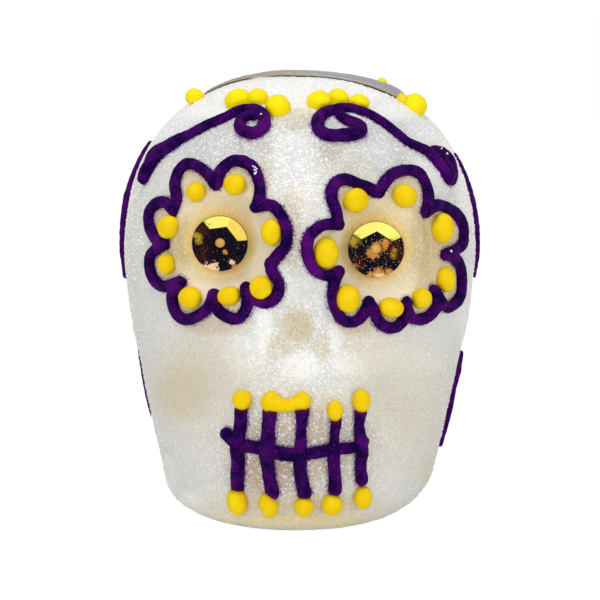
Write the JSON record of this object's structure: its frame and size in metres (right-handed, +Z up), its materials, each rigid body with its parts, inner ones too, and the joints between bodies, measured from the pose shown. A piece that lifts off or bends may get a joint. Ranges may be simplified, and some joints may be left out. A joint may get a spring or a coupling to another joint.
{
  "type": "sugar skull",
  "caption": "Moulded sugar skull in two hollowed halves joined with icing, piped with icing flowers, scrolls, teeth and dots, with a sequin in each eye socket and foil on the crown.",
  "frame": {"origin": "middle of the part's box at the base, on the surface that the skull stands on", "axes": "+Z up, the face looks along -Y, -X is the left side as seen from the front"},
  "size_m": [0.0678, 0.078, 0.0789],
  "materials": {
    "sugar": "matte",
    "white_icing": "matte",
    "purple_icing": "satin",
    "yellow_icing": "satin",
    "gold_film": "polished",
    "silver_foil": "polished"
  },
  "bodies": {
    "root": {"face_half": "sugar", "back_half": "sugar", "seam_icing": "white_icing", "left_eye_flower": "purple_icing", "right_eye_flower": "purple_icing", "left_eye_dot_1": "yellow_icing", "left_eye_dot_2": "yellow_icing", "left_eye_dot_3": "yellow_icing", "left_eye_dot_4": "yellow_icing", "left_eye_dot_5": "yellow_icing", "left_eye_dot_6": "yellow_icing", "left_eye_dot_7": "yellow_icing", "left_eye_dot_8": "yellow_icing", "right_eye_dot_1": "yellow_icing", "right_eye_dot_2": "yellow_icing", "right_eye_dot_3": "yellow_icing", "right_eye_dot_4": "yellow_icing", "right_eye_dot_5": "yellow_icing", "right_eye_dot_6": "yellow_icing", "right_eye_dot_7": "yellow_icing", "right_eye_dot_8": "yellow_icing", "left_sequin_icing": "white_icing", "right_sequin_icing": "white_icing", "left_eye_sequin": "gold_film", "right_eye_sequin": "gold_film", "left_brow_scroll": "purple_icing", "right_brow_scroll": "purple_icing", "forehead_dot_1": "yellow_icing", "forehead_dot_2": "yellow_icing", "forehead_dot_3": "yellow_icing", "forehead_dot_4": "yellow_icing", "forehead_dot_5": "yellow_icing", "forehead_dot_6": "yellow_icing", "upper_tooth_dot_1": "yellow_icing", "upper_tooth_dots_2_3": "yellow_icing", "upper_tooth_dot_4": "yellow_icing", "upper_tooth_dot_5": "yellow_icing", "lower_tooth_dot_1": "yellow_icing", "lower_tooth_dot_2": "yellow_icing", "lower_tooth_dot_3": "yellow_icing", "lower_tooth_dot_4": "yellow_icing", "lower_tooth_dot_5": "yellow_icing", "mouth_line": "purple_icing", "tooth_stroke_1": "purple_icing", "tooth_stroke_2": "purple_icing", "tooth_stroke_3": "purple_icing", "tooth_stroke_4": "purple_icing", "tooth_stroke_5": "purple_icing", "side_line_upper_left": "purple_icing", "side_line_lower_left": "purple_icing", "side_line_upper_right": "purple_icing", "side_line_lower_right": "purple_icing", "crown_foil": "silver_foil", "foil_dot_left": "yellow_icing", "foil_dot_right": "yellow_icing", "foil_dot_back": "yellow_icing"}
  },
  "joints": []
}
